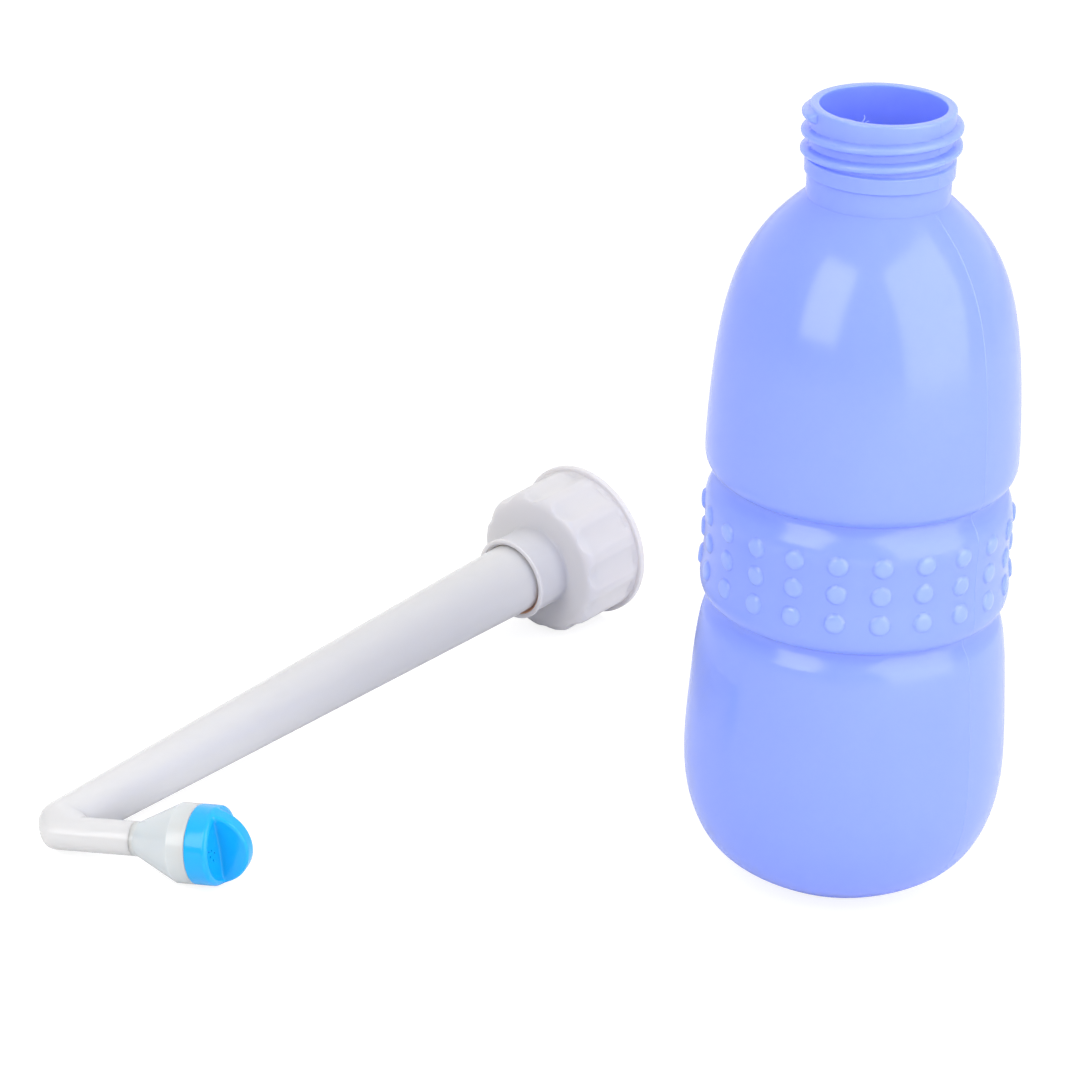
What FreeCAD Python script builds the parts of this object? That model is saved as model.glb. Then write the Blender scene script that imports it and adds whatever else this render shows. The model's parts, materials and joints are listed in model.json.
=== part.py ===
"""Squeeze rinse bottle, standing open, with its screw cap and bent spray spout lying beside it.

Millimetres, +Z up. The origin is the centre of the bottle's base, on the surface that the
bottle stands on and the cap and spout lie on. The bottle's axis is Z.

The cap, spout and nozzle are drawn in the cap's own frame: Z is the cap's axis, z = 0 is the
flange plane at its open end, and the spout bends towards +X. The nozzle is drawn about its own
axis, with z = 0 at the corner of the spout's bend. lying() then lays them all on the surface.
"""
import FreeCAD, Part
import math
import os

from FreeCAD import Placement, Rotation, Vector

# ---- bottle -------------------------------------------------------------------------------
WALL = 1.2                     # blow-moulded wall
BASE_RING_R = 15.0             # inner edge of the flat ring that the bottle stands on
BASE_R = 18.1                  # outer edge of that ring
PUSH_UP = 2.5                  # height of the hollow under the base
LOWER_BODY = [(26.8, 5.0), (32.6, 9.5), (37.5, 18.0), (39.8, 29.0), (39.9, 41.0),
              (39.1, 54.0), (38.1, 65.5), (37.5, 69.2), (36.6, 72.0), (35.1, 74.4)]
LOWER_GROOVE = (34.8, 76.0)    # radius and height of the bottom of each groove
BAND = [(36.9, 77.4), (37.85, 79.4), (38.05, 81.6), (37.5, 88.0), (37.4, 93.0), (37.55, 98.0),
        (37.65, 100.8), (37.2, 103.4), (36.2, 105.6), (34.9, 107.6)]
UPPER_GROOVE = (34.6, 109.0)
UPPER_BODY = [(36.7, 110.6), (37.85, 112.7), (38.15, 115.7), (38.05, 120.0), (37.2, 134.0),
              (35.5, 148.0), (31.3, 162.4), (24.6, 172.8)]
NECK_FOOT_Z = 180.0
NECK_R = 17.2
NECK_BORE_R = 15.05
NECK_RING_R = 17.9             # plain ring under the thread
NECK_RING_Z = (185.5, 189.5)
RIM_R = 17.3
RIM_Z = 202.2
RIM_ROUND = 0.5

DOT_COLUMNS = 22
DOT_FIRST_AZIMUTH = -54.98     # degrees from -Y towards +X
DOT_ROWS = [(85.16, 37.72), (92.5, 37.4), (99.84, 37.62)]    # height, and the band's radius there
DOT_R = 2.45
DOT_HEIGHT = 0.75
DOT_ROUND = 0.6
DOT_ROOT = 0.8                 # how deep each dot reaches into the wall

THREAD_PITCH = 4.5
NECK_THREAD_R = 19.1
NECK_THREAD_FRONT_Z = 196.5    # centre of the ridge at azimuth 0
NECK_THREAD_FROM = -500.0      # degrees of azimuth, from -Y towards +X
NECK_THREAD_TO = 298.0

# ---- screw cap ----------------------------------------------------------------------------
FLANGE_R = 22.4
FLANGE_THICK = 1.7
FLANGE_ROUND = 0.5
SKIRT_R = 21.1
CAP_BORE_R = 19.3
FRONT_Z = 21.2                 # outer face of the cap's end wall
SHOULDER_ROUND = 3.4
SEAT_Z = 17.9                  # inner face of the end wall, where the gasket sits
RECESS_R = 13.5                # recess in the end wall for the stop flange's ring
RECESS_Z = 19.25
COLLAR_R = 11.5
COLLAR_BORE_R = 10.65
LIP_R = 12.0
LIP_Z = 32.4
LIP_LONG = 1.0
FLUTES = 12
FLUTE_CUT_R = 16.0
FLUTE_DEPTH = 0.9
CAP_THREAD_CREST_R = 17.7
CAP_THREAD_START_Z = 3.4
CAP_THREAD_TURNS = 1.6

GASKET_R = (14.2, 18.9)
GASKET_THICK = 1.5

# ---- spout --------------------------------------------------------------------------------
BEND_Z = 205.3                 # corner of the centre line, above the flange plane
BEND_TURN = 113.6              # degrees the spout turns through
TUBE_LIP_R = 9.87              # outer radius where the tube leaves the cap
KNUCKLE_R = 6.2                # ball at the end of the long leg
KNUCKLE_BACK = 4.7             # its distance from the corner, along the long leg
STUB_START = 2.6               # distance from the corner to the start of the short leg
WEB_END = 8.0                 # how far along the short leg the bend's inner web reaches
WEB_INSET = 0.03               # its end stays this far inside the short leg
TUBE_WALL = 1.4
STOP_R = 13.1
STOP_Z = (15.5, 17.1)
STUB_END = 24.2                # end of the short leg, from the bend's corner
STUB_R = 4.4

RING_SECTION_R = 0.9           # o-ring behind the stop flange
RING_CLEARANCE = 0.08

# ---- nozzle, along its own axis from the bend's corner ---------------------------------------
HEAD_NECK_END = 25.5
HEAD_CONE_END = 37.1
HEAD_END = 41.9
HEAD_R = 10.15
HEAD_BORE_R = 8.9
HEAD_SPIGOT_R = 3.1
HEAD_SPIGOT_LONG = 5.0
HEAD_SPIGOT_BORE_R = 2.0
SNAP_DEPTH = 0.3
SNAP_LONG = 0.7
SNAP_Z = 40.6
PLATE_Z = (37.3, 38.6)
SEAL_Z = (38.6, 39.4)
PORT_R = 1.2
PORT_OFFSET = 4.6
KNOB_SKIRT_LONG = 6.1
KNOB_GAP = 0.08                # running clearance round the knob
KNOB_SLEEVE_BORE_R = 7.5
KNOB_WALL = 1.6
KNOB_ROUND = 1.3
KNOB_DISH_R = 8.6              # shallow dish in the knob's end, which leaves a rounded rim
KNOB_DISH_DEPTH = 0.4
FIN_HIGH = 7.7
FIN_HALF_WIDE = 9.85
FIN_THICK = 4.2
FIN_ROUND = 0.9
FIN_SCOOP_DEPTH = 0.7          # hollow in each side of the fin
FIN_SCOOP_HALF_WIDE = 8.4
FIN_TURN = 1.6                 # degrees the fin is turned about the nozzle's axis at rest
SPRAY_HOLE_R = 0.3
SPRAY_HOLES = [(-5.4, 1.7), (-4.0, 0.2), (-5.1, -1.3), (-6.4, 0.4), (-6.9, 2.2)]

# ---- where the cap and spout lie -----------------------------------------------------------
CAP_X, CAP_Y = -77.4, 141.5    # centre of the flange plane
SPOUT_AZIMUTH = -126.4         # degrees from +X, the way the spout points

UP = Vector(0, 0, 1)
ORIGIN = Vector(0, 0, 0)


class Outline:
    """A closed outline of radius and height, turned about the Z axis."""

    def __init__(self, r, z):
        self.first = self.last = Vector(r, 0, z)
        self.edges = []

    def line(self, r, z):
        end = Vector(r, 0, z)
        self.edges.append(Part.LineSegment(self.last, end).toShape())
        self.last = end
        return self

    def arc(self, middle, end):
        through = Vector(middle[0], 0, middle[1])
        end = Vector(end[0], 0, end[1])
        self.edges.append(Part.Arc(self.last, through, end).toShape())
        self.last = end
        return self

    def curve(self, points):
        nodes = [self.last] + [Vector(r, 0, z) for r, z in points]
        spline = Part.BSplineCurve()
        spline.interpolate(nodes)
        self.edges.append(spline.toShape())
        self.last = nodes[-1]
        return self

    def corner(self, r, z, size, before, after):
        """A quarter round at (r, z); before and after are the unit directions into and out of it."""
        start = (r - before[0] * size, z - before[1] * size)
        end = (r + after[0] * size, z + after[1] * size)
        centre = (start[0] + after[0] * size, start[1] + after[1] * size)
        out = (r - centre[0], z - centre[1])
        middle = (centre[0] + out[0] / math.sqrt(2), centre[1] + out[1] / math.sqrt(2))
        if (Vector(start[0], 0, start[1]) - self.last).Length > 1e-6:
            self.line(*start)
        return self.arc(middle, end)

    def spin(self):
        if (self.first - self.last).Length > 1e-6:
            self.line(self.first.x, self.first.z)
        face = Part.Face(Part.Wire(self.edges))
        return face.revolve(ORIGIN, UP, 360)


def inset(points, first, last, amount):
    """The points of a curve moved inwards, square to it. first and last are its neighbours."""
    chain = [first] + list(points) + [last]
    moved = []
    for before, here, after in zip(chain, chain[1:], chain[2:]):
        along = Vector(after[0] - before[0], 0, after[1] - before[1]).normalize()
        moved.append((here[0] - along.z * amount, here[1] + along.x * amount))
    return moved


def helix_ridge(crest, root, half_crest, half_root, start_z, start_azimuth, turns):
    """A rounded right-hand thread ridge. start_azimuth is in degrees from -Y towards +X."""
    path = Part.makeHelix(THREAD_PITCH, THREAD_PITCH * turns, root)
    knee = root + (crest - root) * 0.62
    corners = [Vector(root, 0, -half_root), Vector(knee, 0, -half_crest),
               Vector(knee, 0, half_crest), Vector(root, 0, half_root)]
    section = Part.Wire([Part.LineSegment(corners[0], corners[1]).toShape(),
                         Part.Arc(corners[1], Vector(crest, 0, 0), corners[2]).toShape(),
                         Part.LineSegment(corners[2], corners[3]).toShape(),
                         Part.LineSegment(corners[3], corners[0]).toShape()])
    ridge = Part.Wire(path.Edges).makePipeShell([section], True, True)
    ridge.rotate(ORIGIN, UP, start_azimuth - 90)
    ridge.translate(Vector(0, 0, start_z))
    return ridge


# ---- the bottle -----------------------------------------------------------------------------
def bottle_outside():
    outline = Outline(0, PUSH_UP)
    outline.arc((BASE_RING_R * 0.55, PUSH_UP * 0.78), (BASE_RING_R, 0))
    outline.line(BASE_R, 0)
    outline.curve(LOWER_BODY + [LOWER_GROOVE])
    outline.curve(BAND + [UPPER_GROOVE])
    outline.curve(UPPER_BODY + [(NECK_R, NECK_FOOT_Z)])
    outline.line(NECK_R, NECK_RING_Z[0])
    outline.line(NECK_RING_R, NECK_RING_Z[0] + 0.4)
    outline.line(NECK_RING_R, NECK_RING_Z[1])
    outline.line(RIM_R, NECK_RING_Z[1] + 0.4)
    outline.corner(RIM_R, RIM_Z, RIM_ROUND, (0, 1), (-1, 0))
    outline.line(0, RIM_Z)
    return outline.spin()


def bottle_inside():
    lower = inset(LOWER_BODY, (BASE_R, 0), LOWER_GROOVE, WALL)
    band = inset(BAND, LOWER_GROOVE, UPPER_GROOVE, WALL)
    upper = inset(UPPER_BODY, UPPER_GROOVE, (NECK_R, NECK_FOOT_Z), WALL)
    outline = Outline(0, PUSH_UP + WALL)
    outline.arc((BASE_RING_R * 0.55, PUSH_UP * 0.78 + WALL), (BASE_RING_R, WALL))
    outline.line(BASE_R, WALL)
    outline.curve(lower + [(LOWER_GROOVE[0] - WALL, LOWER_GROOVE[1])])
    outline.curve(band + [(UPPER_GROOVE[0] - WALL, UPPER_GROOVE[1])])
    outline.curve(upper + [(NECK_BORE_R, NECK_FOOT_Z)])
    outline.line(NECK_BORE_R, RIM_Z + 1)
    outline.line(0, RIM_Z + 1)
    return outline.spin()


def grip_dots():
    outline = Outline(0, -DOT_ROOT)
    outline.line(DOT_R, -DOT_ROOT)
    outline.corner(DOT_R, DOT_HEIGHT, DOT_ROUND, (0, 1), (-1, 0))
    outline.line(0, DOT_HEIGHT)
    dot = outline.spin()
    dots = []
    for height, band_r in DOT_ROWS:
        for column in range(DOT_COLUMNS):
            azimuth = math.radians(DOT_FIRST_AZIMUTH + column * 360 / DOT_COLUMNS - 90)
            out = Vector(math.cos(azimuth), math.sin(azimuth), 0)
            placed = dot.copy()
            placed.Placement = Placement(out * band_r + UP * height, Rotation(UP, out))
            dots.append(placed)
    return dots


def bottle():
    start_z = NECK_THREAD_FRONT_Z + THREAD_PITCH * NECK_THREAD_FROM / 360
    turns = (NECK_THREAD_TO - NECK_THREAD_FROM) / 360
    thread = helix_ridge(NECK_THREAD_R, RIM_R - 0.7, 1.0, 1.4, start_z, NECK_THREAD_FROM, turns)
    body = bottle_outside().fuse(grip_dots())
    return body.fuse(thread).cut(bottle_inside())


# ---- the screw cap --------------------------------------------------------------------------
def flute_cutter(number):
    cutter = Part.makeCylinder(FLUTE_CUT_R, FRONT_Z, Vector(SKIRT_R + FLUTE_CUT_R - FLUTE_DEPTH, 0,
                                                            FLANGE_THICK + 0.6))
    cutter.rotate(ORIGIN, UP, number * 360 / FLUTES)
    return cutter


def screw_cap():
    outline = Outline(CAP_BORE_R, 0)
    outline.corner(FLANGE_R, 0, FLANGE_ROUND, (1, 0), (0, 1))
    outline.corner(FLANGE_R, FLANGE_THICK, FLANGE_ROUND, (0, 1), (-1, 0))
    outline.line(SKIRT_R, FLANGE_THICK)
    outline.corner(SKIRT_R, FRONT_Z, SHOULDER_ROUND, (0, 1), (-1, 0))
    outline.corner(COLLAR_R, FRONT_Z, 0.6, (-1, 0), (0, 1))
    outline.line(COLLAR_R, LIP_Z - LIP_LONG)
    outline.arc((LIP_R, LIP_Z - LIP_LONG / 2), (COLLAR_R, LIP_Z))
    outline.line(COLLAR_BORE_R, LIP_Z)
    outline.line(COLLAR_BORE_R, RECESS_Z)
    outline.line(RECESS_R, RECESS_Z)
    outline.line(RECESS_R, SEAT_Z)
    outline.line(CAP_BORE_R, SEAT_Z)
    body = outline.spin().cut([flute_cutter(number) for number in range(FLUTES)])
    thread = helix_ridge(CAP_THREAD_CREST_R, CAP_BORE_R + 0.4, 0.55, 1.0,
                         CAP_THREAD_START_Z, 0, CAP_THREAD_TURNS)
    return body.fuse(thread)


def cap_gasket():
    inner, outer = GASKET_R
    start = Vector(0, 0, SEAT_Z - GASKET_THICK)
    return Part.makeCylinder(outer, GASKET_THICK, start).cut(
        Part.makeCylinder(inner, GASKET_THICK, start))


# ---- the spout ------------------------------------------------------------------------------
def stub_frame():
    """The nozzle's frame in the cap's: its origin is the bend's corner, and Z is the short leg."""
    return Placement(Vector(0, 0, BEND_Z), Rotation(Vector(0, 1, 0), BEND_TURN))


def tube_r(z):
    """Outer radius of the long leg: a straight taper from the cap's lip to the knuckle."""
    knuckle_z = BEND_Z - KNUCKLE_BACK
    return KNUCKLE_R + (TUBE_LIP_R - KNUCKLE_R) * (knuckle_z - z) / (knuckle_z - LIP_Z)


def ball_link(first, first_r, last, last_r):
    """Two balls and the cone that touches both all round."""
    apart = last - first
    taper = (first_r - last_r) / apart.Length
    slope = math.sqrt(1 - taper ** 2)
    way = Vector(apart).normalize()
    start = first + way * first_r * taper
    end = last + way * last_r * taper
    cone = Part.makeCone(first_r * slope, last_r * slope, (end - start).Length, start, way)
    return [Part.makeSphere(first_r, first), cone, Part.makeSphere(last_r, last)]


def spout_core(skin):
    """The spout, shrunk by skin all round: its outside at 0, its bore at TUBE_WALL."""
    over = 1 if skin else 0
    start = STOP_Z[0] - over
    knuckle_z = BEND_Z - KNUCKLE_BACK
    long_leg = Part.makeCone(tube_r(start) - skin, KNUCKLE_R - skin, knuckle_z - start,
                             Vector(0, 0, start))
    stub_start = stub_frame().multVec(Vector(0, 0, STUB_START))
    short_leg = Part.makeCylinder(STUB_R - skin, STUB_END + over - STUB_START,
                                  Vector(0, 0, STUB_START))
    short_leg.Placement = stub_frame()
    knuckle = Vector(0, 0, knuckle_z)
    elbow = ball_link(knuckle, KNUCKLE_R - skin, stub_start, STUB_R - skin)
    web_end = stub_frame().multVec(Vector(0, 0, WEB_END))
    web = ball_link(knuckle, KNUCKLE_R - skin, web_end, STUB_R - skin - WEB_INSET)
    return long_leg.fuse(elbow + web + [short_leg])


def spout_tube():
    low, high = STOP_Z
    stop = Part.makeCylinder(STOP_R, high - low, Vector(0, 0, low))
    return spout_core(0).fuse(stop).cut(spout_core(TUBE_WALL)).removeSplitter()


def tube_o_ring():
    z = STOP_Z[1] + RING_CLEARANCE + RING_SECTION_R
    ring_r = tube_r(z) + RING_CLEARANCE + RING_SECTION_R
    return Part.makeTorus(ring_r, RING_SECTION_R, Vector(0, 0, z), UP)


# ---- the nozzle -----------------------------------------------------------------------------
def spray_head():
    skin = HEAD_R - HEAD_BORE_R
    outline = Outline(HEAD_SPIGOT_BORE_R, STUB_END - HEAD_SPIGOT_LONG)
    outline.line(HEAD_SPIGOT_R - 0.05, STUB_END - HEAD_SPIGOT_LONG)
    outline.line(STUB_R - TUBE_WALL - 0.05, STUB_END)
    outline.line(STUB_R, STUB_END)
    outline.line(STUB_R, HEAD_NECK_END)
    outline.line(HEAD_R, HEAD_CONE_END)
    outline.line(HEAD_R, HEAD_END)
    outline.line(HEAD_BORE_R, HEAD_END)
    outline.line(HEAD_BORE_R, SNAP_Z + SNAP_LONG / 2 + SNAP_DEPTH)
    outline.line(HEAD_BORE_R + SNAP_DEPTH, SNAP_Z + SNAP_LONG / 2)
    outline.line(HEAD_BORE_R + SNAP_DEPTH, SNAP_Z - SNAP_LONG / 2)
    outline.line(HEAD_BORE_R, SNAP_Z - SNAP_LONG / 2 - SNAP_DEPTH)
    outline.line(HEAD_BORE_R, PLATE_Z[0])
    outline.line(HEAD_BORE_R - skin, PLATE_Z[0])
    outline.line(HEAD_SPIGOT_BORE_R, HEAD_NECK_END + 0.5)
    return outline.spin()


def ported_disc(levels, radius):
    low, high = levels
    disc = Part.makeCylinder(radius, high - low, Vector(0, 0, low))
    port = Part.makeCylinder(PORT_R, high - low, Vector(PORT_OFFSET, 0, low))
    return disc.cut(port)


def valve_plate():
    return ported_disc(PLATE_Z, HEAD_BORE_R)


def valve_seal():
    return ported_disc(SEAL_Z, HEAD_BORE_R - 0.2)


def knob_shell():
    """The knob's skirt, end wall and the sleeve that turns in the head, with its snap bead."""
    sleeve_r = HEAD_BORE_R - KNOB_GAP
    end = HEAD_END + KNOB_GAP + KNOB_SKIRT_LONG
    outline = Outline(KNOB_SLEEVE_BORE_R, SEAL_Z[1] + KNOB_GAP)
    outline.line(sleeve_r, SEAL_Z[1] + KNOB_GAP)
    outline.line(sleeve_r, SNAP_Z - SNAP_LONG / 2 - SNAP_DEPTH + KNOB_GAP)
    outline.line(sleeve_r + SNAP_DEPTH, SNAP_Z - SNAP_LONG / 2 + KNOB_GAP)
    outline.line(sleeve_r + SNAP_DEPTH, SNAP_Z + SNAP_LONG / 2 - KNOB_GAP)
    outline.line(sleeve_r, SNAP_Z + SNAP_LONG / 2 + SNAP_DEPTH - KNOB_GAP)
    outline.line(sleeve_r, HEAD_END + KNOB_GAP)
    outline.line(HEAD_R, HEAD_END + KNOB_GAP)
    outline.corner(HEAD_R, end, KNOB_ROUND, (0, 1), (-1, 0))
    outline.line(KNOB_DISH_R, end)
    outline.line(KNOB_DISH_R - KNOB_DISH_DEPTH, end - KNOB_DISH_DEPTH)
    outline.line(0, end - KNOB_DISH_DEPTH)
    outline.line(0, end - KNOB_WALL)
    outline.line(KNOB_SLEEVE_BORE_R, end - KNOB_WALL)
    return outline.spin()


def fin_scoop(side):
    """The ball that hollows one side of the fin: side is 1 or -1."""
    half = FIN_SCOOP_HALF_WIDE
    ball_r = (half ** 2 + FIN_SCOOP_DEPTH ** 2) / (2 * FIN_SCOOP_DEPTH)
    end = HEAD_END + KNOB_GAP + KNOB_SKIRT_LONG
    return Part.makeSphere(ball_r, Vector(side * (FIN_THICK / 2 - FIN_SCOOP_DEPTH + ball_r), 0, end))


def knob_fin():
    """A half-moon grip across the knob's end, rounded at its rim and hollowed on both sides."""
    end = HEAD_END + KNOB_GAP + KNOB_SKIRT_LONG
    foot = end - KNOB_ROUND
    left, right = Vector(0, -FIN_HALF_WIDE, foot), Vector(0, FIN_HALF_WIDE, foot)
    dome = Part.Arc(right, Vector(0, 0, end + FIN_HIGH), left).toShape()
    plate = Part.Face(Part.Wire([Part.LineSegment(left, right).toShape(), dome]))
    fin = plate.extrude(Vector(FIN_THICK, 0, 0))
    fin.translate(Vector(-FIN_THICK / 2, 0, 0))
    rims = [edge for edge in fin.Edges if edge.Curve.TypeId == "Part::GeomCircle"]
    return fin.makeFillet(FIN_ROUND, rims).cut([fin_scoop(1), fin_scoop(-1)])


def spray_knob():
    end = HEAD_END + KNOB_GAP + KNOB_SKIRT_LONG
    holes = [Part.makeCylinder(SPRAY_HOLE_R, 2 * KNOB_WALL, Vector(x, y, end - 1.5 * KNOB_WALL))
             for x, y in SPRAY_HOLES]
    knob = knob_shell().fuse(knob_fin()).cut(holes)
    knob.rotate(ORIGIN, UP, FIN_TURN)
    return knob


# ---- laying the cap and spout down ----------------------------------------------------------
def lean(radius, reach, height):
    """Degrees an axis leans when a rim of that radius, reach along it, touches the surface.

    The axis passes at that height over the surface at reach 0.
    """
    span = math.hypot(radius, reach)
    return math.degrees(math.acos(height / span) - math.atan2(reach, radius))


def lying():
    """The cap's frame as it lies: flange, knuckle and nozzle all touch the surface."""
    rim_z = FLANGE_THICK - FLANGE_ROUND
    down = math.radians(lean(FLANGE_R, BEND_Z - KNUCKLE_BACK - rim_z, KNUCKLE_R))
    corner_height = KNUCKLE_R - KNUCKLE_BACK * math.sin(down)
    up = math.radians(lean(HEAD_R, HEAD_CONE_END, corner_height))
    turn = math.radians(BEND_TURN)
    swing = math.acos((math.cos(turn) + math.sin(down) * math.sin(up))
                      / (math.cos(down) * math.cos(up)))
    azimuth = math.radians(SPOUT_AZIMUTH)
    along = Vector(math.cos(azimuth) * math.cos(down), math.sin(azimuth) * math.cos(down),
                   -math.sin(down))
    stub = Vector(math.cos(azimuth + swing) * math.cos(up),
                  math.sin(azimuth + swing) * math.cos(up), math.sin(up))
    side = (stub - along * stub.dot(along)).normalize()
    rotation = Rotation(side, along.cross(side), along, "ZXY")
    base = Vector(CAP_X, CAP_Y, FLANGE_R * math.cos(down) + rim_z * math.sin(down))
    return Placement(base, rotation)


def main():
    os.makedirs("parts", exist_ok=True)
    cap_frame = lying()
    nozzle_frame = cap_frame.multiply(stub_frame())
    pieces = [("bottle", bottle, Placement()),
              ("screw_cap", screw_cap, cap_frame),
              ("cap_gasket", cap_gasket, cap_frame),
              ("tube_o_ring", tube_o_ring, cap_frame),
              ("spout_tube", spout_tube, cap_frame),
              ("spray_head", spray_head, nozzle_frame),
              ("valve_plate", valve_plate, nozzle_frame),
              ("valve_seal", valve_seal, nozzle_frame),
              ("spray_knob", spray_knob, nozzle_frame)]
    for name, make, frame in pieces:
        shape = make()
        shape.Placement = frame.multiply(shape.Placement)
        shape.exportStep("parts/" + name + ".step")
        box = shape.optimalBoundingBox(True, False)
        print(name, shape.ShapeType, len(shape.Solids), shape.isValid(), round(shape.Volume, 1),
              "z", round(box.ZMin, 3), round(box.ZMax, 3))


main()
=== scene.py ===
"""Looks of the squeeze bottle, its screw cap and its bent spray spout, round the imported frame.

Shapes are drawn in millimetres, each in its own frame: the bottle's is the row's, the cap's has
Z along the cap's axis from its flange plane, and the nozzle's has Z along the spout's short leg
from the corner of the bend. The last two are worked out from the record's joints.
"""
import math

import bpy
import numpy as np
from mathutils import Matrix, Vector
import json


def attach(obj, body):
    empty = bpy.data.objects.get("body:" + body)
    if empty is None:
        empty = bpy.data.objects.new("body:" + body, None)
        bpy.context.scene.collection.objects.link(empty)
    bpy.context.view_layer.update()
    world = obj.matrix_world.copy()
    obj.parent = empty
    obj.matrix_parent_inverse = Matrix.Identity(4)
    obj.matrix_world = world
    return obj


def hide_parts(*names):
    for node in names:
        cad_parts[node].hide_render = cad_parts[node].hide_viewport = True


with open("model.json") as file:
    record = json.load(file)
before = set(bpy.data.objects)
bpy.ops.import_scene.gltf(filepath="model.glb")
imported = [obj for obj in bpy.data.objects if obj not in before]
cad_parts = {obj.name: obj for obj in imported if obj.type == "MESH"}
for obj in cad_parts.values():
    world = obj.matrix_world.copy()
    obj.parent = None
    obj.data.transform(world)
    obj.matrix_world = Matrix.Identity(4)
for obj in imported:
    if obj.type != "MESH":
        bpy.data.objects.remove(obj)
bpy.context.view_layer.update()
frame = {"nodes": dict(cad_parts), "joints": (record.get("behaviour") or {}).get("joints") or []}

MM = 0.001
SHARP_ANGLE = math.radians(40)     # faces that meet at more than this keep a crisp edge

# ---- bottle ---------------------------------------------------------------------------------
WALL = 1.2
BASE_RING_R = 15.0
BASE_R = 18.1
PUSH_UP = 2.5
LOWER_BODY = [(26.8, 5.0), (32.6, 9.5), (37.5, 18.0), (39.8, 29.0), (39.9, 41.0),
              (39.1, 54.0), (38.1, 65.5), (37.5, 69.2), (36.6, 72.0), (35.1, 74.4)]
LOWER_GROOVE = (34.8, 76.0)
BAND = [(36.9, 77.4), (37.85, 79.4), (38.05, 81.6), (37.5, 88.0), (37.4, 93.0), (37.55, 98.0),
        (37.65, 100.8), (37.2, 103.4), (36.2, 105.6), (34.9, 107.6)]
UPPER_GROOVE = (34.6, 109.0)
UPPER_BODY = [(36.7, 110.6), (37.85, 112.7), (38.15, 115.7), (38.05, 120.0), (37.2, 134.0),
              (35.5, 148.0), (31.3, 162.4), (24.6, 172.8)]
NECK_FOOT_Z = 180.0
NECK_R = 17.2
NECK_BORE_R = 15.05
NECK_RING_R = 17.9
NECK_RING_Z = (185.5, 189.5)
RIM_R = 17.3
RIM_Z = 202.2
RELIEF_FROM_R = 17.25          # rings wider than this carry the dots, thread and seams
DENSE_Z = (81.6, 103.6)        # where the dots are, and the mesh is three times as fine
BOTTLE_COLUMNS = 300

DOT_COLUMNS = 22
DOT_FIRST_AZIMUTH = -54.98     # degrees from -Y towards +X, as every azimuth here
DOT_ROWS = [(85.16, 37.72), (92.5, 37.4), (99.84, 37.62)]    # height, and the band's radius there
DOT_R = 2.45
DOT_HEIGHT = 0.75

THREAD_PITCH = 4.5
NECK_THREAD_R = 19.1
NECK_THREAD_FRONT_Z = 196.5    # centre of the ridge at azimuth 0
NECK_THREAD_FROM = -500.0      # degrees of azimuth
NECK_THREAD_TO = 298.0
NECK_THREAD_HALF = 1.25        # half the ridge's width
SEAM_AZIMUTH = 51.0            # one moulding seam is here and the other is opposite
SEAM_HEIGHT = 0.11
SEAM_HALF = 0.16
WHISKER_R = 0.11
# The hairs of moulding flash on the mouth's edge, each through (radius, azimuth, height) points.
WHISKERS = [
    [(15.2, -19.0, 201.9), (14.9, -17.5, 202.5), (14.4, -16.5, 203.1), (13.9, -18.5, 203.5)],
    [(15.2, -15.5, 201.9), (14.7, -15.5, 202.3), (14.3, -13.0, 202.4)],
    [(15.2, -40.0, 201.95), (15.0, -32.0, 202.25), (15.15, -21.0, 201.95)]]

# ---- cap ------------------------------------------------------------------------------------
FLANGE_R = 22.4
FLANGE_THICK = 1.7
SKIRT_R = 21.1
CAP_BORE_R = 19.3
FRONT_Z = 21.2
SEAT_Z = 17.9
RECESS_R = 13.5
RECESS_Z = 19.25
COLLAR_R = 11.5
COLLAR_BORE_R = 10.65
LIP_R = 12.0
LIP_Z = 32.4
SHOULDER_ROUND = 3.4
WIPER_R = 10.1                 # bead inside the collar's mouth, which closes most of the gap
WIPER_Z = (30.4, 31.9)
PAINTED_SHADE_SIDE = (0.6, 0.0, -0.8)    # the way the side of that gap with painted warm shade faces, in the row's frame
FLUTES = 12
FLUTE_COLUMNS = 26             # the mesh's columns in each
FLUTE_CUT_R = 16.0
FLUTE_DEPTH = 0.9
FLUTE_FROM_Z = 2.1             # where the flutes start to sink in, just above the flange
FLUTE_RUN_IN = 0.5             # and how far up they reach their depth
SCALLOP = 0.8                  # share by which the flutes are deeper where they end in the shoulder
CAP_THREAD_CREST_R = 17.7
CAP_THREAD_START_Z = 3.4
CAP_THREAD_TURNS = 1.6
CAP_THREAD_HALF = 0.95         # half the ridge's width
CAP_THREAD_FADE = 12           # degrees over which each end of the ridge rises

# ---- spout and nozzle -------------------------------------------------------------------------
BEND_Z = 205.3                 # corner of the centre line
BEND_TURN = math.radians(113.6)
TUBE_LIP_R = 9.87              # outer radius where the tube leaves the cap
KNUCKLE_R = 6.2                # ball at the end of the long leg
KNUCKLE_BACK = 4.7             # its distance from the corner
STUB_START = 2.6               # where the short leg starts and ends, from the corner
STUB_END = 24.2
WEB_END = 8.0                  # how far along the short leg the bend's inner web reaches
STUB_R = 4.4
TUBE_WALL = 1.4
STOP_R = 13.1
STOP_Z = (15.5, 17.1)
SPOUT_COLUMNS = 96
SPOUT_FINE_Z = 180.0           # the long leg's sections are closer together above this
HEAD_SPIGOT_LONG = 5.0
HEAD_SPIGOT_R = 3.05
HEAD_SPIGOT_TIP_R = 2.95
HEAD_SPIGOT_BORE_R = 2.0
HEAD_NECK_END = 25.5
HEAD_CONE_END = 37.1
HEAD_END = 41.9
HEAD_R = 10.15
HEAD_BORE_R = 8.9
HEAD_COLUMNS = 128
PLATE_START = 37.3
KNOB_START = 41.98
KNOB_END = 48.08
KNOB_SLEEVE_START = 39.48
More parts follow.
